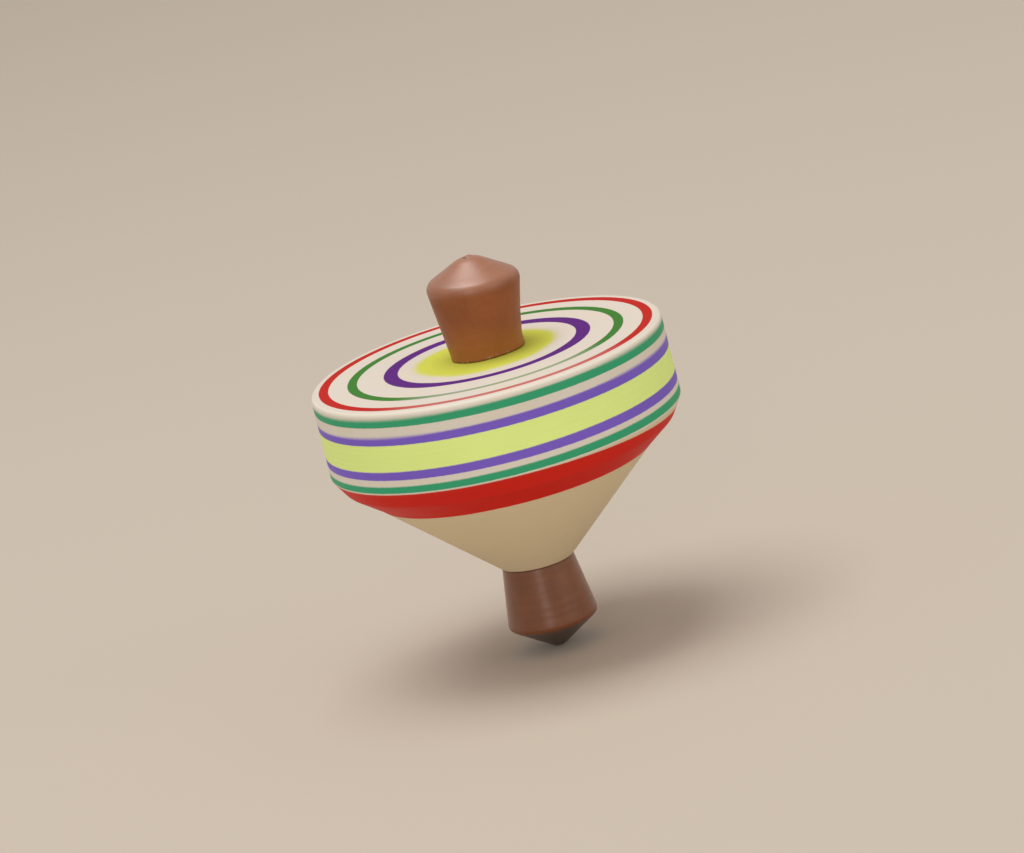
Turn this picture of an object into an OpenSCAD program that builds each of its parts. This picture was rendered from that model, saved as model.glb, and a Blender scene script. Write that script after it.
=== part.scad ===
// Finger spinning top turned from wood.
// A wide painted body carries a short flared handle above and a matching
// flared foot below. Handle and foot both widen away from the body, so
// neither can be one piece with it: a plain dowel runs through the body
// and is glued into a blind bore in each.
//
// Frame: millimetres, +Z up along the spin axis, origin at the tip of the
// foot, where the top touches the table while it spins.

/* [Body] */
// Diameter of the flat upper face, out to the rim
rim_d = 49.2; // [44:0.1:56]
// How much wider the side wall is at its lower edge, on the radius
side_flare = 0.1; // [0:0.05:1]
// Height of the painted side wall
side_h = 11.6; // [6:0.1:18]
// Height of the cone under the side wall, from the waist to the foot
cone_h = 18.5; // [14:0.1:28]
// Height of the steep shoulder at the top of that cone
shoulder_h = 2.4; // [2:0.1:3]
// How far the shoulder comes in, on the radius
shoulder_in = 1.5; // [1:0.1:1.8]
// Height of the full part under the shoulder, above the straight cone
full_h = 2.6; // [2:0.1:3]
// How far the full part comes in, on the radius
full_in = 3.4; // [3.2:0.1:4]
// Radius of the rounded upper rim
rim_round = 0.8; // [0.3:0.1:1.5]
// Radius of the eased edge between side wall and cone
waist_round = 0.5; // [0.2:0.1:1]
// Radius of the soft turn between shoulder and full part
shoulder_round = 2.5; // [1:0.5:3]

/* [Handle] */
// Diameter of the handle where it stands on the body
handle_base_d = 9.6; // [9:0.1:12]
// Diameter of the handle at its widest ring
handle_top_d = 13.2; // [12.4:0.1:16]
// Height of the widest ring above the body
handle_h = 10.5; // [9:0.1:16]
// Height of the shallow cone on top of the handle, to where its sides meet
handle_cap_h = 3.8; // [2:0.1:5]
// Radius of the rounded crown in place of the cone's point
crown_round = 4.3; // [2:0.1:4.5]

/* [Foot] */
// Diameter of the foot where it meets the body
foot_base_d = 10.1; // [9:0.1:12]
// Diameter of the foot at its widest ring
foot_low_d = 12.7; // [12.4:0.1:16]
// Distance from the body down to the widest ring
foot_h = 8.2; // [7:0.1:12]
// Height of the blunt cone that ends in the tip
foot_tip_h = 4.3; // [2.5:0.1:5]
// Radius of the rounded tip, worn by spinning
tip_round = 2.5; // [0.5:0.1:3]

/* [Handle and foot edges] */
// Radius of the rounded widest ring on the handle
handle_ring_round = 1.5; // [0.5:0.1:2]
// Radius of the rounded widest ring on the foot
foot_ring_round = 0.9; // [0.5:0.1:2]
// Radius of the eased edge where handle and foot meet the body
seat_round = 0.25; // [0.1:0.05:0.5]
// Diameter of the small turning nib left on top of the handle
nib_d = 1.0; // [0.6:0.1:1.4]
// Height of the turning nib above the crown
nib_h = 0.1; // [0.05:0.05:0.3]

/* [Spindle] */
// Diameter of the dowel that joins handle, body and foot
dowel_d = 6; // [4:0.5:7]
// Length of dowel inside the handle
dowel_in_handle = 7; // [4:0.5:8]
// Length of dowel inside the foot
dowel_in_foot = 5.5; // [4:0.5:6]
// Glue gap round the dowel, on the radius
glue_gap = 0.05; // [0.02:0.01:0.15]
// Room for glue past each end of the dowel
end_gap = 0.5; // [0.2:0.1:0.8]
// Chamfer on each end of the dowel
dowel_chamfer = 0.5; // [0.2:0.1:1]

/* [Hidden] */

fn_turned = 180;
fn_small = 60;

// Heights of the joints between the pieces, counted up from the tip
z_ring = foot_tip_h;
z_under = z_ring + foot_h;
z_waist = z_under + cone_h;
z_face = z_waist + side_h;

bore_d = dowel_d + 2 * glue_gap;
drill_tip_h = bore_d / 2 / tan(59);

// Corner b of an outline a-b-c, rounded with radius r: the tangent points
// on both sides and the arc's centre
function unit(v) = v / norm(v);
function half_angle(a, b, c) = acos(unit(a - b) * unit(c - b)) / 2;
function tangent_in(a, b, c, r) = b + unit(a - b) * r / tan(half_angle(a, b, c));
function tangent_out(a, b, c, r) = b + unit(c - b) * r / tan(half_angle(a, b, c));
function arc_centre(a, b, c, r) =
    b + unit(unit(a - b) + unit(c - b)) * r / sin(half_angle(a, b, c));

// Half outline through points p, with corner i rounded by radius rr[i].
// The first and last points stay sharp: they lie on the axis.
module rounded_outline(p, rr) {
    n = len(p);
    polygon([for (i = [0:n - 1])
        each (i == 0 || i == n - 1 || rr[i] == 0
            ? [p[i]]
            : [tangent_in(p[i - 1], p[i], p[(i + 1) % n], rr[i]),
               tangent_out(p[i - 1], p[i], p[(i + 1) % n], rr[i])])]);
    for (i = [1:n - 2])
        if (rr[i] > 0)
            translate(arc_centre(p[i - 1], p[i], p[i + 1], rr[i]))
                circle(r = rr[i], $fn = fn_small);
}

// Blind bore that opens downwards at z = 0, with a drill point at its end
module blind_bore(depth) {
    rotate_extrude($fn = fn_small)
        polygon([[0, -1], [bore_d / 2, -1], [bore_d / 2, depth],
                 [0, depth + drill_tip_h]]);
}

// Wide painted disc with a flat upper face, an upright side wall and a cone
// below, drilled right through for the dowel. Under the waist the cone is
// turned a little full, in two steps, before it runs straight to the foot.
module body() {
    r_waist = rim_d / 2 + side_flare;
    r_shoulder = r_waist - shoulder_in;
    z_shoulder = z_waist - shoulder_h;
    color("#e6dcc6")
        difference() {
            rotate_extrude($fn = fn_turned)
                rounded_outline(
                    [[0, z_under],
                     [foot_base_d / 2, z_under],
                     [r_shoulder - full_in, z_shoulder - full_h],
                     [r_shoulder, z_shoulder],
                     [r_waist, z_waist],
                     [rim_d / 2, z_face],
                     [0, z_face]],
                    [0, 0, 0, shoulder_round, waist_round, rim_round, 0]);
            translate([0, 0, z_under - 1])
                cylinder(d = bore_d, h = z_face - z_under + 2, $fn = fn_small);
        }
}

// Half of a cone's point rounded with radius r, as a piece of a disc. The
// cone's sides leave [half_w, z] and meet on the axis at [0, z + h].
module round_point(half_w, z, h, r) {
    p = [[half_w, z], [0, z + h], [-half_w, z]];
    start = tangent_in(p[0], p[1], p[2], r);
    intersection() {
        translate(arc_centre(p[0], p[1], p[2], r))
            circle(r = r, $fn = fn_small);
        translate([0, start[1] - 0.3])
            square(r + 1);
    }
}

// Flared finger grip, its widest ring under a shallow cone with a rounded
// crown, and the small nib that the lathe leaves in its middle
module handle() {
    half_w = handle_top_d / 2;
    cap = [[half_w, handle_h], [0, handle_h + handle_cap_h],
           [-half_w, handle_h]];
    crown = tangent_in(cap[0], cap[1], cap[2], crown_round);
    crown_z = arc_centre(cap[0], cap[1], cap[2], crown_round)[1] + crown_round;
    nib_top = crown_z + nib_h;
    color("#8a5232")
        translate([0, 0, z_face])
            difference() {
                rotate_extrude($fn = fn_turned)
                    union() {
                        rounded_outline(
                            [[0, 0],
                             [handle_base_d / 2, 0],
                             [half_w, handle_h],
                             crown,
                             [0, crown[1]]],
                            [0, seat_round, handle_ring_round, 0, 0]);
                        round_point(half_w, handle_h, handle_cap_h,
                                    crown_round);
                        rounded_outline(
                            [[0, crown_z - 0.4],
                             [nib_d / 2, crown_z - 0.4],
                             [nib_d / 2, nib_top],
                             [0, nib_top]],
                            [0, 0, min(nib_h / 2, nib_d / 4), 0]);
                    }
                blind_bore(dowel_in_handle + end_gap);
            }
}

// Flared foot that narrows to a blunt worn tip
module foot() {
    tip = [[foot_low_d / 2, z_ring], [0, 0], [-foot_low_d / 2, z_ring]];
    tip_a = tangent_in(tip[0], tip[1], tip[2], tip_round);
    tip_c = arc_centre(tip[0], tip[1], tip[2], tip_round);
    drop = tip_c[1] - tip_round;
    color("#7a452b")
        difference() {
            // the rounding takes the sharp point away, so the cone is set
            // lower by the same amount and the tip stays at z = 0
            rotate_extrude($fn = fn_turned)
                union() {
                    rounded_outline(
                        [[0, tip_a[1] - drop],
                         [tip_a[0], tip_a[1] - drop],
                         [foot_low_d / 2, z_ring - drop],
                         [foot_base_d / 2, z_under],
                         [0, z_under]],
                        [0, 0, foot_ring_round, seat_round, 0]);
                    intersection() {
                        translate([0, tip_c[1] - drop])
                            circle(r = tip_round, $fn = fn_small);
                        square([tip_round, z_under]);
                    }
                }
            translate([0, 0, z_under])
                mirror([0, 0, 1])
                    blind_bore(dowel_in_foot + end_gap);
        }
}

// Plain dowel, hidden inside the other three pieces. A wide 45 degree cone
// from each end trims its chamfers.
module spindle() {
    len = dowel_in_foot + cone_h + side_h + dowel_in_handle;
    d_end = dowel_d - 2 * dowel_chamfer;
    color("#d8bd8e")
        translate([0, 0, z_under - dowel_in_foot])
            intersection() {
                cylinder(d = dowel_d, h = len, $fn = fn_small);
                cylinder(d1 = d_end, d2 = d_end + 2 * len, h = len,
                         $fn = fn_small);
                cylinder(d1 = d_end + 2 * len, d2 = d_end, h = len,
                         $fn = fn_small);
            }
}

body();
handle();
foot();
spindle();
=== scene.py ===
import math

import bmesh
import bpy
from mathutils import Matrix, Vector, noise


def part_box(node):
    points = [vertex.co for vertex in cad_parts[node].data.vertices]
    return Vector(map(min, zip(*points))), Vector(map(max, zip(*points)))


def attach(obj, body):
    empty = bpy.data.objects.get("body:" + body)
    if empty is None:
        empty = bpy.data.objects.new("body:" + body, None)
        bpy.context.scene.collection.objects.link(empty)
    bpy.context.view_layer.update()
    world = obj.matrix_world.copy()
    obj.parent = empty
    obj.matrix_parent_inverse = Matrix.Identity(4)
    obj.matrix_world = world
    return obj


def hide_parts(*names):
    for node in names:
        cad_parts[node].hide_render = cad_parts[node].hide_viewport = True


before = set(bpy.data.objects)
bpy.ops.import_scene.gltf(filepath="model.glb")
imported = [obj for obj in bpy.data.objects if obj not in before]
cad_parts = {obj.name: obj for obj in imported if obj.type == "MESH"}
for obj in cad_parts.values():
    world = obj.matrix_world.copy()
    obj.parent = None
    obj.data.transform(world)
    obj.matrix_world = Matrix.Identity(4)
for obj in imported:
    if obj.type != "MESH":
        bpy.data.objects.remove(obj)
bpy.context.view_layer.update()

MM = 0.001
TAU = 2 * math.pi

# ---------------------------------------------------------------- sizes
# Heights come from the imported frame, in millimetres above the tip.
Z_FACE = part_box("body")[1].z / MM
Z_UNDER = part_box("body")[0].z / MM
Z_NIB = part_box("handle")[1].z / MM
Z_WAIST = Z_FACE - 11.6
R_RIM, R_WAIST = 24.6, 24.7
R_BORE = 3.05


# ---------------------------------------------------------------- lathe meshes
def unit2(a):
    n = math.hypot(a[0], a[1])
    return (a[0] / n, a[1] / n)


def arc(cr, cz, rad, a0, a1, step=0.09):
    """Points (r, z, 0) on a circle, from angle a0 to a1 in degrees."""
    k = max(2, int(abs(math.radians(a1 - a0)) * rad / step) + 1)
    return [
        (
            max(0.0, cr + rad * math.cos(math.radians(a0 + (a1 - a0) * j / k))),
            cz + rad * math.sin(math.radians(a0 + (a1 - a0) * j / k)),
            0,
        )
        for j in range(k + 1)
    ]


def outline(points, step=0.35, arc_step=0.09):
    """A turned outline from corners (r, z, rounding): straight runs and tangent arcs, cut into short steps. A closed outline passes the same point first and last."""
    out = []
    n = len(points)
    cuts = []
    for i, (r, z, rad) in enumerate(points):
        if rad <= 0 or i in (0, n - 1):
            cuts.append([(r, z)])
            continue
        a = unit2((points[i - 1][0] - r, points[i - 1][1] - z))
        c = unit2((points[i + 1][0] - r, points[i + 1][1] - z))
        half = math.acos(max(-1, min(1, a[0] * c[0] + a[1] * c[1]))) / 2
        t = rad / math.tan(half)
        m = unit2((a[0] + c[0], a[1] + c[1]))
        centre = (r + m[0] * rad / math.sin(half), z + m[1] * rad / math.sin(half))
        p0 = (r + a[0] * t, z + a[1] * t)
        p1 = (r + c[0] * t, z + c[1] * t)
        a0 = math.atan2(p0[1] - centre[1], p0[0] - centre[0])
        a1 = math.atan2(p1[1] - centre[1], p1[0] - centre[0])
        da = (a1 - a0 + math.pi) % TAU - math.pi
        k = max(3, int(abs(da) * rad / arc_step) + 1)
        cuts.append(
            [
                (
                    centre[0] + rad * math.cos(a0 + da * j / k),
                    centre[1] + rad * math.sin(a0 + da * j / k),
                )
                for j in range(k + 1)
            ]
        )
    for i, piece in enumerate(cuts):
        if out:
            p, q = out[-1], piece[0]
            length = math.hypot(q[0] - p[0], q[1] - p[1])
            k = max(1, round(length / step))
            for j in range(1, k):
                out.append(
                    (p[0] + (q[0] - p[0]) * j / k, p[1] + (q[1] - p[1]) * j / k)
                )
            if length > 1e-6:
                out.append(piece[0])
        else:
            out.append(piece[0])
        out.extend(piece[1:])
    return out


def turned(name, profile, segments, closed=False, shape=None, place=None):
    """Spins an outline (mm) into a mesh (m). shape(r, z, angle) gives a point's own r and z, for what the lathe and the hand left; place(x, y, z, r) then moves it."""
    verts, rings = [], []
    pts = profile[:-1] if closed else profile

    def put(r, z, a):
        rr, zz = shape(r, z, a) if shape else (r, z)
        p = (rr * math.cos(a), rr * math.sin(a), zz)
        if place:
            p = place(*p, r)
        verts.append((p[0] * MM, p[1] * MM, p[2] * MM))
        return len(verts) - 1

    for r, z in pts:
        if r < 1e-6:
            rings.append([put(0.0, z, 0.0)])
        else:
            rings.append([put(r, z, TAU * s / segments) for s in range(segments)])
    faces = []
    pairs = list(zip(rings, rings[1:]))
    if closed:
        pairs.append((rings[-1], rings[0]))
    for a, b in pairs:
        for s in range(segments):
            t = (s + 1) % segments
            if len(a) == 1 and len(b) == 1:
                continue
            if len(a) == 1:
                faces.append((a[0], b[t], b[s]))
            elif len(b) == 1:
                faces.append((a[s], a[t], b[0]))
            else:
                faces.append((a[s], a[t], b[t], b[s]))
    mesh = bpy.data.meshes.new(name)
    mesh.from_pydata(verts, [], faces)
    bm = bmesh.new()
    bm.from_mesh(mesh)
    bmesh.ops.recalc_face_normals(bm, faces=bm.faces)
    bm.to_mesh(mesh)
    bm.free()
    mesh.polygons.foreach_set("use_smooth", [True] * len(mesh.polygons))
    mesh.update()
    obj = bpy.data.objects.new(name, mesh)
    bpy.context.scene.collection.objects.link(obj)
    return obj


def wave(x, y, z, seed):
    return noise.noise(Vector((x, y, z + 17.3 * seed)))


def near(x, centre, width):
    t = (x - centre) / width
    return math.exp(-t * t)


def smooth(x, lo, hi):
    t = max(0.0, min(1.0, (x - lo) / (hi - lo)))
    return t * t * (3 - 2 * t)


# ---------------------------------------------------------------- body
def body_shape(r, z, a):
    c, s = math.cos(a), math.sin(a)
    if r < R_BORE + 0.01:
        return r, z
    # a hair out of round, and the faint waviness the gouge leaves
    out = 0.015 * wave(c * 0.8, s * 0.8, z * 0.05, 1)
    if Z_UNDER + 0.5 < z < Z_WAIST - 0.6:
        out += 0.018 * wave(c * 0.3, s * 0.3, z * 0.9, 2)
        out += 0.006 * wave(c * 0.2, s * 0.2, z * 3.2, 4)
    down = 0.0
    if R_BORE + 1 < r < 24 and z > Z_FACE - 0.01:
        down = min(0.0, 0.012 * wave(r * 0.5, c * 0.3, s * 0.3, 3))
    return r + out, z + down


body = turned(
    "top_body",
    outline(
        [
            (R_BORE, Z_UNDER, 0),
            (R_BORE, Z_FACE, 0),
            (R_RIM, Z_FACE, 0.8),
            (R_WAIST, Z_WAIST, 0.35),
            (23.2, Z_WAIST - 2.4, 2.5),
            (19.8, Z_WAIST - 5.0, 6.0),
            (5.08, Z_UNDER, 0.22),
            (R_BORE, Z_UNDER, 0),
        ]
    ),
    288,
    closed=True,
    shape=body_shape,
)


# ---------------------------------------------------------------- handle
def turning_marks(z, seed, depth):
    """Shallow uneven rings along a peg, as a skew chisel leaves them."""
    return depth * (
        wave(z * 1.9, 0.2, 0.7, seed)
        + 0.6 * wave(z * 4.3, 1.2, 0.1, seed + 5)
        + 0.25 * wave(z * 9.1, 2.2, 3.1, seed + 9)
    )


LEAN = math.radians(3.3)
NIB_X = 0.20 + 13.7 * math.sin(LEAN)
CAP = math.atan2(3.8, 6.6)
CROWN_R = 4.3
Z_CROWN = Z_NIB - 0.1
NIB_R = 0.5


def in_bore(r, z):
    return r < R_BORE + 0.01 and z < Z_FACE + 9.6


def handle_shape(r, z, a):
    h = z - Z_FACE
    if in_bore(r, z):
        return r, z
    c, s = math.cos(a), math.sin(a)
    out, up = 0.0, 0.0
    if 0.05 < h < 13.0:
        out += turning_marks(h, 11, 0.016) + 0.03 * wave(c, s, h * 0.15, 12)
        # paint and glue pooled where the handle meets the body, most on one side
        right = near(1.0 - math.cos(a + 0.05), 0.0, 0.30)
        pool = 0.10 + 0.06 * wave(c * 2.2, s * 2.2, 0.3, 13)
        out += max(0.02, pool) * math.exp(-max(0.0, h - 0.05) / 0.35)
        out += 0.20 * right * (1 - smooth(h, 1.0, 5.5))
        out += 0.34 * right * (1 - smooth(h, 0.1, 2.2))
    if h > 12 and r < 1.6:
        # the nib was snapped off slanted, with a dent torn beside it
        up += 0.05 * (r / NIB_R) * math.cos(a - 0.5) * (1 if r < NIB_R + 0.02 else 0)
        up -= 0.16 * near(r, NIB_R + 0.20, 0.22) * smooth(math.cos(a - 3.9), -0.2, 0.7)
    return max(0.0, r + out), z + up


def lean_handle(x, y, z, r):
    """The handle was fitted a few degrees off the axis; its seat and its bore are true."""
    if in_bore(r, z):
        return x, y, z
    h = z - Z_FACE
    w = smooth(h, 0.0, 3.0)
    k = smooth(r, R_BORE, 4.4) if h < 0.01 else 1.0
    return (
        x + h * math.sin(LEAN) + 0.20 * k,
        y + 0.18 * k,
        z - w * x * math.sin(LEAN),
    )


crown_c = Z_CROWN - CROWN_R
nib_edge = math.degrees(math.acos((NIB_R + 0.06) / CROWN_R))
handle = turned(
    "top_handle",
    outline(
        [
            (0.0, Z_NIB - 0.02, 0),
            (NIB_R - 0.03, Z_NIB - 0.03, 0.08),
            (
                NIB_R + 0.05,
                crown_c + CROWN_R * math.sin(math.radians(nib_edge)),
                0,
            ),
        ]
        + arc(0, crown_c, CROWN_R, nib_edge - 1.0, 90 - math.degrees(CAP))
        + [
            (6.6, Z_FACE + 10.5, 1.5),
            (4.8, Z_FACE, 0.16),
            (R_BORE, Z_FACE, 0),
            (R_BORE, Z_FACE + 7.5, 0),
            (0.0, Z_FACE + 7.5 + R_BORE / math.tan(math.radians(59)), 0),
        ],
        step=0.2,
        arc_step=0.06,
    ),
    192,
    shape=handle_shape,
    place=lean_handle,
)


# ---------------------------------------------------------------- foot
def foot_shape(r, z, a):
    if r < R_BORE + 0.01 and z > 5.2:
        return r, z
    c, s = math.cos(a), math.sin(a)
    out = 0.0
    if 0.6 < z < Z_UNDER - 0.05:
        out += turning_marks(z, 21, 0.022) + 0.03 * wave(c, s, z * 0.15, 22)
    if z >= Z_UNDER - 0.9:
        out += 0.05 * wave(c * 1.7, s * 1.7, 0.2, 23) * math.exp((z - Z_UNDER) / 0.4)
    if z < 0.5:
        # the tip is worn a little flat, not quite evenly
        z = z + 0.03 * smooth(r, 0.1, 0.8) * wave(c * 1.2, s * 1.2, r, 24)
    return max(0.0, r + out), max(0.0, z)


def set_foot(x, y, z, r):
    """The foot's lower end stands a hair off the axis; its bore is true."""
    if r < R_BORE + 0.01 and z > 5.2:
        return x, y, z
    return x + 0.10 * smooth(Z_UNDER - z, 0.5, 8.5), y, z


TIP_R = 2.5
TIP_A = math.atan2(4.3, 6.35)
DROP = TIP_R / math.cos(TIP_A) - TIP_R
foot = turned(
    "top_foot",
    outline(
        [
            (0.0, Z_UNDER - 6.0 - R_BORE / math.tan(math.radians(59)), 0),
            (R_BORE, Z_UNDER - 6.0, 0),
            (R_BORE, Z_UNDER, 0),
            (5.03, Z_UNDER, 0.24),
            (6.35, 4.3 - DROP, 0.9),
        ]
        + arc(0, TIP_R, TIP_R, -90 + math.degrees(TIP_A), -90),
        step=0.2,
        arc_step=0.06,
    ),
    192,
    shape=foot_shape,
    place=set_foot,
)


# ---------------------------------------------------------------- materials
class Sock:
    """A shader value with arithmetic, so that patterns read as formulas."""

    def __init__(self, tree, socket):
        self.t, self.s = tree, socket

    def _m(self, op, *others, clamp=False):
        n = self.t.nodes.new("ShaderNodeMath")
        n.operation, n.use_clamp = op, clamp
        for i, v in enumerate((self,) + others):
            if isinstance(v, Sock):
                self.t.links.new(v.s, n.inputs[i])
            else:
                n.inputs[i].default_value = float(v)
        return Sock(self.t, n.outputs[0])

    def __add__(self, o):
        return self._m("ADD", o)

    def __sub__(self, o):
        return self._m("SUBTRACT", o)

    def __mul__(self, o):
        return self._m("MULTIPLY", o)

    def __truediv__(self, o):
        return self._m("DIVIDE", o)

    def max(self, o):
        return self._m("MAXIMUM", o)

    def min(self, o):
        return self._m("MINIMUM", o)

    def abs(self):
        return self._m("ABSOLUTE")

    def clamp(self):
        return self._m("ADD", 0.0, clamp=True)

    def power(self, o):
        return self._m("POWER", o)

    def inv(self):
        return (self * -1.0) + 1.0

    def ramp(self, lo, hi):
        """0 below lo, 1 above hi, smooth between. lo and hi may be sockets."""
        n = self.t.nodes.new("ShaderNodeMapRange")
        n.interpolation_type = "SMOOTHSTEP"
        for i, v in zip((0, 1, 2), (self, lo, hi)):
            if isinstance(v, Sock):
                self.t.links.new(v.s, n.inputs[i])
            else:
                n.inputs[i].default_value = float(v)
        n.inputs[3].default_value, n.inputs[4].default_value = 0.0, 1.0
        return Sock(self.t, n.outputs[0])


class Look:
    """One material's node tree, with the coordinates of a turned piece: x, y, z in mm, the radius, and the direction round the axis."""

    def __init__(self, name):
        self.mat = bpy.data.materials.new(name)
        self.mat.use_nodes = True
        self.t = self.mat.node_tree
        self.t.nodes.clear()
        self.out = self.t.nodes.new("ShaderNodeOutputMaterial")
        self.bsdf = self.t.nodes.new("ShaderNodeBsdfPrincipled")
        self.t.links.new(self.bsdf.outputs[0], self.out.inputs[0])
        tc = self.t.nodes.new("ShaderNodeTexCoord")
        sep = self.t.nodes.new("ShaderNodeSeparateXYZ")
        self.t.links.new(tc.outputs["Object"], sep.inputs[0])
        self.x = Sock(self.t, sep.outputs[0]) * 1000.0
        self.y = Sock(self.t, sep.outputs[1]) * 1000.0
        self.z = Sock(self.t, sep.outputs[2]) * 1000.0
        self.r = ((self.x * self.x) + (self.y * self.y)).power(0.5)
        safe = self.r.max(0.2)
        self.cx, self.cy = self.x / safe, self.y / safe

    def vec(self, a, b, c):
        n = self.t.nodes.new("ShaderNodeCombineXYZ")
        for i, v in enumerate((a, b, c)):
            if isinstance(v, Sock):
                self.t.links.new(v.s, n.inputs[i])
            else:
                n.inputs[i].default_value = float(v)
        return n.outputs[0]

    def noise(self, a, b, c, scale=1.0, detail=2.0, rough=0.5, seed=0.0):
        """Noise in 0..1 at (a, b, c)."""
        n = self.t.nodes.new("ShaderNodeTexNoise")
        n.noise_dimensions = "4D"
        n.inputs["W"].default_value = seed
        n.inputs["Scale"].default_value = scale
        n.inputs["Detail"].default_value = detail
        n.inputs["Roughness"].default_value = rough
        self.t.links.new(self.vec(a, b, c), n.inputs["Vector"])
        return Sock(self.t, n.outputs[0])

    def cells(self, a, b, c, scale, seed=0.0):
        n = self.t.nodes.new("ShaderNodeTexVoronoi")
        n.voronoi_dimensions = "4D"
        n.feature = "F1"
        n.inputs["W"].default_value = seed
        n.inputs["Scale"].default_value = scale
        self.t.links.new(self.vec(a, b, c), n.inputs["Vector"])
        return Sock(self.t, n.outputs["Distance"])

    def rgb(self, colour):
        n = self.t.nodes.new("ShaderNodeRGB")
        n.outputs[0].default_value = (*colour, 1.0)
        return n.outputs[0]

    def mix(self, a, b, f):
        n = self.t.nodes.new("ShaderNodeMix")
        n.data_type = "RGBA"
        n.clamp_factor = True
        if isinstance(f, Sock):
            self.t.links.new(f.s, n.inputs[0])
        else:
            n.inputs[0].default_value = float(f)
        for i, v in ((6, a), (7, b)):
            if isinstance(v, (tuple, list)):
                n.inputs[i].default_value = (*v, 1.0)
            else:
                self.t.links.new(v, n.inputs[i])
        return n.outputs[2]

    def shade(self, colour, value):
        """colour times a value near 1."""
        n = self.t.nodes.new("ShaderNodeVectorMath")
        n.operation = "SCALE"
        self.t.links.new(colour, n.inputs[0])
        self.t.links.new(value.s, n.inputs["Scale"])
        return n.outputs[0]

    def finish(self, colour, rough, height, strength=1.0, distance=0.0001, gloss=0.5, coat=None):
        self.t.links.new(colour, self.bsdf.inputs["Base Color"])
        self.t.links.new(rough.clamp().s, self.bsdf.inputs["Roughness"])
        b = self.t.nodes.new("ShaderNodeBump")
        b.inputs["Strength"].default_value = strength
        b.inputs["Distance"].default_value = distance
        self.t.links.new(height.s, b.inputs["Height"])
        self.t.links.new(b.outputs[0], self.bsdf.inputs["Normal"])
        level = self.bsdf.inputs["Specular IOR Level"]
        if isinstance(gloss, Sock):
            self.t.links.new(gloss.s, level)
        else:
            level.default_value = gloss
        if coat:
            if isinstance(coat[0], Sock):
                self.t.links.new(coat[0].s, self.bsdf.inputs["Coat Weight"])
            else:
                self.bsdf.inputs["Coat Weight"].default_value = coat[0]
            self.bsdf.inputs["Coat Roughness"].default_value = coat[1]
        return self.mat


def band(v, lo, hi, soft_lo, soft_hi):
    """1 between lo and hi, with edges that soften over the given widths. Each may be a number or a Sock."""

    def edge(at, soft):
        if isinstance(soft, Sock):
            return (soft * -1.0) + at, soft + at
        if isinstance(at, Sock):
            return at - soft, at + soft
        return at - soft, at + soft

    return v.ramp(*edge(lo, soft_lo)) * v.ramp(*edge(hi, soft_hi)).inv()


CREAM = (0.775, 0.722, 0.622)
# darker, cooler cream for the upper face: painted shade that tones down the overhead lamp
TOP_CREAM_PAINTED_SHADE = (0.650, 0.588, 0.525)
# yellower, darker cream under the waist: painted warm bounce light and shade
CONE_CREAM_PAINTED_BOUNCE = (0.760, 0.640, 0.420)
BARE = (0.640, 0.470, 0.270)
TOP_YELLOW = (0.580, 0.600, 0.075)
TOP_PURPLE = (0.098, 0.012, 0.190)
TOP_GREEN = (0.036, 0.185, 0.020)
TOP_RED = (0.475, 0.013, 0.008)
SIDE_GREEN = (0.027, 0.378, 0.178)
SIDE_VIOLET = (0.200, 0.112, 0.620)
SIDE_YELLOW = (0.810, 0.975, 0.300)
CONE_RED = (0.680, 0.014, 0.008)
BROWN = (0.310, 0.095, 0.028)


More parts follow.
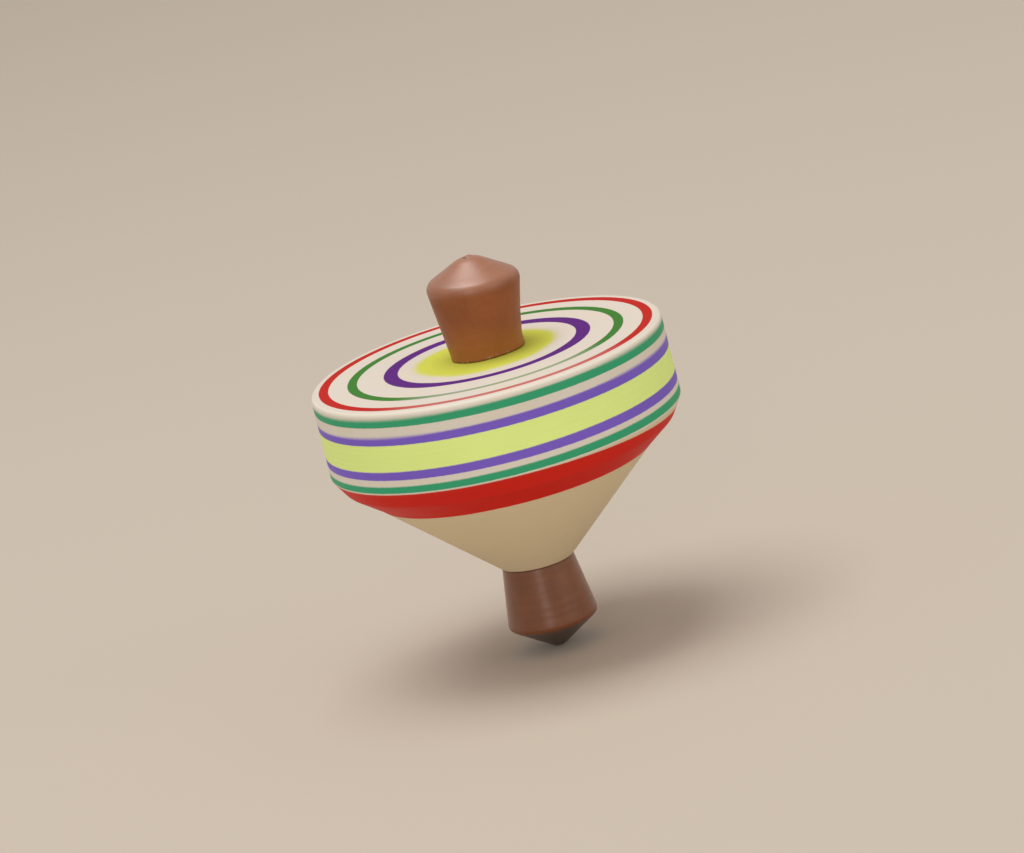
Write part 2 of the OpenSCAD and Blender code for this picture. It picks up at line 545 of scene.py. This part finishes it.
def body_paint():
    k = Look("painted_body_paint")
    # hand wobble of the brush edges, slow round the ring, and a fine ragged edge
    slow = (k.noise(k.cx * 1.0, k.cy * 1.0, k.z * 0.02, 1.3, 1.0, 0.5, 1.0) - 0.5) * 0.16
    fine = (k.noise(k.x, k.y, k.z, 1.6, 3.0, 0.6, 2.0) - 0.5) * 0.10
    rr = k.r + slow + fine
    zz = k.z + (slow * 0.7) + fine

    # how far the wet paint feathers out, different round the rim
    soft = k.noise(k.cx, k.cy, k.z * 0.05, 0.9, 1.0, 0.5, 3.0).ramp(0.42, 0.62)
    feather = (soft * 0.22) + 0.16
    crisp = 0.055

    # the cream is painted yellower and darker under the waist: painted warm bounce light and shade on the underside
    col = k.mix(k.rgb(CONE_CREAM_PAINTED_BOUNCE), k.rgb(CREAM), k.z.ramp(Z_WAIST - 0.5, Z_WAIST + 0.1))
    # the upper face takes a darker copy of the cream: painted shade
    col = k.mix(col, k.rgb(TOP_CREAM_PAINTED_SHADE), k.z.ramp(Z_FACE - 0.22, Z_FACE - 0.06))
    # faint cloudiness and the wood under the cream paint
    cloud = k.noise(k.x, k.y, k.z, 0.16, 3.0, 0.55, 4.0)
    grain = k.noise(k.x * 0.5, k.y * 4.0, k.z * 0.5, 0.5, 4.0, 0.6, 5.0)
    under = k.noise(k.r, k.z, k.cx * 0.2, 0.7, 3.0, 0.6, 14.0)
    col = k.mix(col, (0.740, 0.610, 0.420), (cloud.ramp(0.35, 0.8) * 0.28))
    col = k.mix(col, (0.660, 0.510, 0.320), (grain.ramp(0.52, 0.75) * 0.12))
    col = k.mix(col, (0.640, 0.520, 0.330), (under.ramp(0.52, 0.74) * 0.12))

    masks = []

    def paint(colour, mask, deep, lift=0.12):
        """One painted ring: a little denser and thinner round its length, with the brush's fine lines."""
        nonlocal col
        thin = k.noise(k.cx * 1.4, k.cy * 1.4, k.z * 0.1, 1.0, 2.0, 0.5, 6.0 + len(masks))
        streak = k.noise(k.r * 1.0, k.z * 1.0, k.cx * 0.35, 5.0, 2.0, 0.6, 7.0 + len(masks))
        tone = ((thin - 0.5) * lift) + ((streak - 0.5) * 0.12) + 1.0
        c = k.shade(k.rgb(colour), tone)
        col = k.mix(col, c, mask * deep)
        masks.append(mask)

    def about(ox, oy):
        """Distance from a ring's own centre: none was struck quite on the axis."""
        ex, ey = k.x - ox, k.y - oy
        return ((ex * ex) + (ey * ey)).power(0.5) + slow + fine

    top = k.z.ramp(Z_FACE - 0.30, Z_FACE - 0.12)
    close = (k.cx * 0.09) - (k.cy * 0.99)
    fade = close.ramp(0.60, 0.96)
    yellow_edge = k.noise(k.cx, k.cy, 0.0, 1.2, 2.0, 0.5, 8.0)
    yellow_r = (k.r + slow * 2.0 + fine) - (fade * 0.6)
    yellow = yellow_r.ramp((yellow_edge * 0.9) + 8.5, (yellow_edge * 0.9) + 10.3).inv()
    paint(TOP_YELLOW, yellow * top, 0.98)
    purple = band(about(0.25, -0.05), (fade * 0.18) + 12.55, (fade * -0.22) + 14.55, crisp, crisp)
    paint(TOP_PURPLE, purple * top, 0.98)
    # thin, dry paint where the two outer rings come round to the near side
    green = band(about(0.0, -0.30), (fade * 0.20) + 18.06, (fade * -0.18) + 19.42, crisp, (fade * 0.12) + crisp)
    paint(TOP_GREEN, green * top, fade * -0.38 + 0.97)
    red = band(about(0.0, -0.40), (fade * 0.08) + 22.12, (fade * -0.06) + 23.47, (fade * 0.10) + crisp, crisp)
    paint(TOP_RED, red * top, fade * -0.22 + 0.98)

    f = Z_FACE
    paint(SIDE_GREEN, band(zz, f - 2.13, (k.cx * 0.10) + (f - 1.00), crisp, feather), 0.98)
    paint(SIDE_VIOLET, band(zz, f - 4.72, (k.cx * 0.18) + (f - 3.46), crisp, feather), 0.98)
    paint(SIDE_YELLOW, band(zz, (k.cx * 0.13) + (f - 8.33), f - 4.70, crisp, crisp), 0.985)
    paint(SIDE_VIOLET, band(zz, f - 9.60, (k.cx * 0.14) + (f - 8.35), crisp, 0.10), 0.98)
    paint(SIDE_GREEN, band(zz, f - 11.46, (k.cx * 0.13) + (f - 10.44), crisp, 0.14), 0.98)
    turn = (k.cx + 0.1).max(0.0)
    low = ((k.cx * -1.0) - 0.2).max(0.0)
    paint(
        CONE_RED,
        band(zz, (low * -0.35) + (f - 16.82), (turn * turn * -0.85) + (f - 11.70), crisp, 0.09),
        0.985,
    )

    # bare wood inside the bore and on the small ring under the foot
    col = k.mix(col, BARE, k.r.ramp(3.4, 3.8).inv() * k.z.ramp(Z_FACE - 0.05, Z_FACE).inv())

    # rim and waist rubbed by handling: thin dull spots
    rub = k.noise(k.x, k.y, k.z, 0.9, 4.0, 0.65, 9.0).ramp(0.66, 0.74)
    edge = band(k.z, f - 0.5, f - 0.02, 0.2, 0.02) * k.r.ramp(23.9, 24.4)
    waist = band(k.z, f - 11.95, f - 11.35, 0.12, 0.12)
    col = k.mix(col, (0.60, 0.48, 0.33), rub * (edge * 0.35 + waist * 0.30))
    specks = k.cells(k.x, k.y, k.z, 0.42, 3.0).ramp(0.045, 0.075).inv()
    col = k.mix(col, (0.42, 0.33, 0.24), specks * 0.25)

    painted = masks[0]
    for m in masks[1:]:
        painted = painted.max(m)
    lines = k.noise(k.r * 1.0, k.z * 1.0, k.cx * 0.15, 3.2, 3.0, 0.6, 10.0)
    pores = k.noise(k.x, k.y, k.z, 5.0, 2.0, 0.5, 11.0)
    height = (painted * 0.22) + (lines * 0.30) + (pores * 0.10)
    smudge = k.noise(k.x, k.y, k.z, 0.11, 3.0, 0.6, 12.0)
    rough = (smudge - 0.5) * 0.22 + (lines - 0.5) * 0.10 + (painted * -0.03) + 0.40
    # rubbed flat on the upper face, a little satin on the sides
    gloss = (k.z.ramp(Z_FACE - 0.30, Z_FACE - 0.05) * -0.105) + 0.11
    gloss = gloss - (k.z.ramp(Z_WAIST - 0.8, Z_WAIST).inv() * 0.06)
    return k.finish(col, rough + 0.10, height, 0.45, 0.00006, gloss=gloss)


def peg_paint(name, tone, foot_wear_and_shade=False, nib_z=None, coat=None):
    k = Look(name)
    col = k.rgb(BROWN)
    cloud = k.noise(k.x, k.y, k.z, 0.22, 3.0, 0.55, 21.0)
    lines = k.noise(k.r * 1.0, k.z * 1.0, k.cx * 0.12, 2.4, 3.0, 0.65, 22.0)
    fine = k.noise(k.r * 1.0, k.z * 1.0, k.cx * 0.30, 8.0, 2.0, 0.6, 23.0)
    # paint over close-grained wood: long faint streaks along the axis
    grain = k.noise(k.x * 1.5, k.y * 1.5, k.z * 0.12, 1.6, 4.0, 0.6, 24.0)
    col = k.mix(col, (0.400, 0.130, 0.040), cloud.ramp(0.45, 0.75) * 0.45)
    col = k.mix(col, (0.200, 0.060, 0.020), cloud.ramp(0.30, 0.52).inv() * 0.35)
    col = k.mix(col, (0.170, 0.052, 0.018), grain.ramp(0.50, 0.72) * 0.22)
    col = k.mix(col, (0.430, 0.170, 0.070), fine.ramp(0.62, 0.80) * 0.20)
    # tone scales the whole brown; the foot's tone below 1 is painted shade
    val = ((lines - 0.5) * 0.22) + tone
    col = k.shade(col, val)
    rub = k.noise(k.x, k.y, k.z, 1.1, 4.0, 0.7, 25.0).ramp(0.60, 0.72)
    if nib_z is not None:
        ring = band(k.z, Z_FACE + 10.0, Z_FACE + 11.2, 0.35, 0.3)
        col = k.mix(col, (0.50, 0.26, 0.13), rub * ring * 0.40)
        # the lower part is painted a shade lighter and more orange: a painted reflection of the yellow face below it
        low = k.z.ramp(Z_FACE + 0.5, Z_FACE + 6.0).inv()
        col = k.mix(col, (0.440, 0.165, 0.045), low * 0.38)
        # a thin dark band where the handle meets the body: painted shade in the crease
        dark = k.z.ramp(Z_FACE + 0.12, Z_FACE + 0.30).inv()
        col = k.mix(col, (0.090, 0.040, 0.015), dark * 0.55)
        seat = k.z.ramp(Z_FACE + 0.10, Z_FACE + 0.75).inv()
        glue = k.noise(k.x, k.y, k.z, 1.5, 3.0, 0.6, 26.0).ramp(0.56, 0.66)
        col = k.mix(col, (0.62, 0.50, 0.40), seat * glue * 0.40)
        # painted shade in the dent torn beside the nib; the nib leans with the handle
        nx, ny = k.x - NIB_X, k.y - 0.18
        nr = ((nx * nx) + (ny * ny)).power(0.5)
        nib_dent_shade = band(nr, NIB_R - 0.02, NIB_R + 0.26, 0.08, 0.12) * k.z.ramp(nib_z - 0.8, nib_z - 0.6)
        nib_dent_shade = nib_dent_shade * ((nx * -0.72) - (ny * 0.69)).ramp(-0.05, 0.35)
        col = k.mix(col, (0.075, 0.030, 0.014), nib_dent_shade * 0.70)
    if foot_wear_and_shade:
        ring = band(k.z, 3.3, 4.7, 0.3, 0.3)
        col = k.mix(col, (0.42, 0.22, 0.11), rub * ring * 0.35)
        dirt = k.noise(k.x, k.y, k.z, 1.3, 3.0, 0.6, 27.0)
        # near-black below the foot's ring: dirt at the tip, and painted shade on the underside
        underside_dirt_and_shade = (k.z + (dirt - 0.5) * 0.5).ramp(2.9, 3.9).inv()
        col = k.mix(col, (0.034, 0.021, 0.014), underside_dirt_and_shade * 0.76)
        # a dark line painted along the seam under the body: painted shade in the crease
        seam_shade = k.z.ramp(Z_UNDER - 0.30, Z_UNDER - 0.12)
        col = k.mix(col, (0.035, 0.020, 0.014), seam_shade * 0.38)
        bare = (k.r + (dirt - 0.5) * 0.8).ramp(0.5, 0.9).inv() * k.z.ramp(0.5, 0.8).inv()
        col = k.mix(col, (0.23, 0.15, 0.09), bare * 0.7)
    specks = k.cells(k.x, k.y, k.z, 0.9, 5.0).ramp(0.05, 0.09).inv()
    col = k.mix(col, (0.55, 0.40, 0.28), specks * 0.16)
    height = (lines * 0.55) + (fine * 0.22) + (grain * 0.12)
    smudge = k.noise(k.x, k.y, k.z, 0.35, 3.0, 0.6, 28.0)
    rough = ((smudge - 0.5) * 0.24) + ((fine - 0.5) * 0.10) + 0.42
    gloss = 0.28
    if nib_z is not None:
        # fingers have rubbed the grip's sides dull, its cap is still glossy
        cap = (k.z + (smudge - 0.5) * 1.2).ramp(Z_FACE + 9.0, Z_FACE + 10.8)
        gloss = (cap * 0.66) + 0.26
        coat = ((cap * 0.60) + 0.02, 0.40)
        rough = rough + (cap * 0.02)
    return k.finish(col, rough, height, 0.6, 0.00008, gloss=gloss, coat=coat)


def bare_wood():
    k = Look("dowel_wood")
    grain = k.noise(k.x * 1.2, k.y * 1.2, k.z * 0.05, 1.8, 4.0, 0.6, 31.0)
    pores = k.noise(k.x * 3.0, k.y * 3.0, k.z * 0.25, 2.5, 3.0, 0.6, 32.0)
    col = k.mix(BARE_LIGHT, (0.46, 0.31, 0.16), grain.ramp(0.40, 0.75) * 0.7)
    col = k.mix(col, (0.28, 0.17, 0.08), pores.ramp(0.62, 0.75) * 0.5)
    rough = ((grain - 0.5) * 0.2) + 0.72
    return k.finish(col, rough, pores * 1.0, 0.5, 0.00005)


BARE_LIGHT = (0.66, 0.50, 0.30)

body.data.materials.append(body_paint())
handle.data.materials.append(peg_paint("brown_handle_paint", 1.0, nib_z=Z_NIB))
# the foot is the handle's brown at tone 0.64: painted shade under the body
foot.data.materials.append(peg_paint("brown_foot_paint", 0.64, foot_wear_and_shade=True, coat=(0.70, 0.32)))

for piece, node, slot in (
    (body, "body", "painted_body"),
    (handle, "handle", "brown_handle"),
    (foot, "foot", "brown_foot"),
):
    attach(piece, "root")
    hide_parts(node)

# the dowel's shape is right as designed: it stays, with bare wood on it
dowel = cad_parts["spindle"]
dowel.data.materials.clear()
dowel.data.materials.append(bare_wood())

# ---------------------------------------------------------------- stage
floor_mesh = bpy.data.meshes.new("floor")
R = 9.0
n = 96
floor_mesh.from_pydata(
    [(R * math.cos(TAU * i / n), R * math.sin(TAU * i / n), 0.0) for i in range(n)],
    [],
    [tuple(range(n))],
)
floor = bpy.data.objects.new("floor", floor_mesh)
bpy.context.scene.collection.objects.link(floor)
fm = bpy.data.materials.new("floor_plain")
fm.use_nodes = True
fb = fm.node_tree.nodes["Principled BSDF"]
fb.inputs["Base Color"].default_value = (0.53, 0.46, 0.385, 1)
fb.inputs["Roughness"].default_value = 0.75
fb.inputs["Specular IOR Level"].default_value = 0.25
floor.data.materials.append(fm)


def area(name, place, target, size, power, colour=(1, 1, 1), size_y=None):
    data = bpy.data.lights.new(name, "AREA")
    data.energy, data.color = power, colour
    data.size = size
    if size_y:
        data.shape = "RECTANGLE"
        data.size_y = size_y
    o = bpy.data.objects.new(name, data)
    bpy.context.scene.collection.objects.link(o)
    o.location = place
    d = Vector(target) - Vector(place)
    o.rotation_euler = d.to_track_quat("-Z", "Y").to_euler()
    return o


area("overhead", (-0.11, 0.02, 0.96), (0, 0, 0.03), 0.64, 6.0, (1.0, 0.985, 0.96))
area("front_fill", (-0.20, -1.07, 0.25), (0, 0, 0.03), 0.30, 2.0, (1.0, 0.98, 0.98), size_y=0.8)
area("right_fill", (1.0, -0.75, 0.45), (0, 0, 0.03), 0.8, 1.5, (1.0, 0.97, 0.94))

world = bpy.data.worlds.new("studio")
bpy.context.scene.world = world
world.use_nodes = True
bg = world.node_tree.nodes["Background"]
bg.inputs[0].default_value = (1.0, 0.96, 0.92, 1)
bg.inputs[1].default_value = 0.55

# ---------------------------------------------------------------- camera
ELEV, ROLL = math.radians(13.87), math.radians(-14.31)
T = Vector((-3.69, -10.08, 955.92)) * MM
X = Vector((1, 0, 0))
F = Vector((0, math.cos(ELEV), -math.sin(ELEV)))
U = Vector((0, math.sin(ELEV), math.cos(ELEV)))
X2 = math.cos(ROLL) * X + math.sin(ROLL) * U
U2 = -math.sin(ROLL) * X + math.cos(ROLL) * U
place = -(X2 * T.x - U2 * T.y + F * T.z) + Vector((0, 0, Z_FACE * MM))
cam_data = bpy.data.cameras.new("camera")
cam_data.sensor_fit = "HORIZONTAL"
cam_data.sensor_width = 36.0
cam_data.lens = 7000 * 36.0 / 1024
cam_data.clip_start = 0.01
cam_data.clip_end = 50
cam = bpy.data.objects.new("camera", cam_data)
bpy.context.scene.collection.objects.link(cam)
m = Matrix((X2, U2, -F)).transposed().to_4x4()
m.translation = place
cam.matrix_world = m
bpy.context.scene.camera = cam

bpy.context.scene.view_settings.view_transform = "Standard"
bpy.context.scene.view_settings.look = "None"
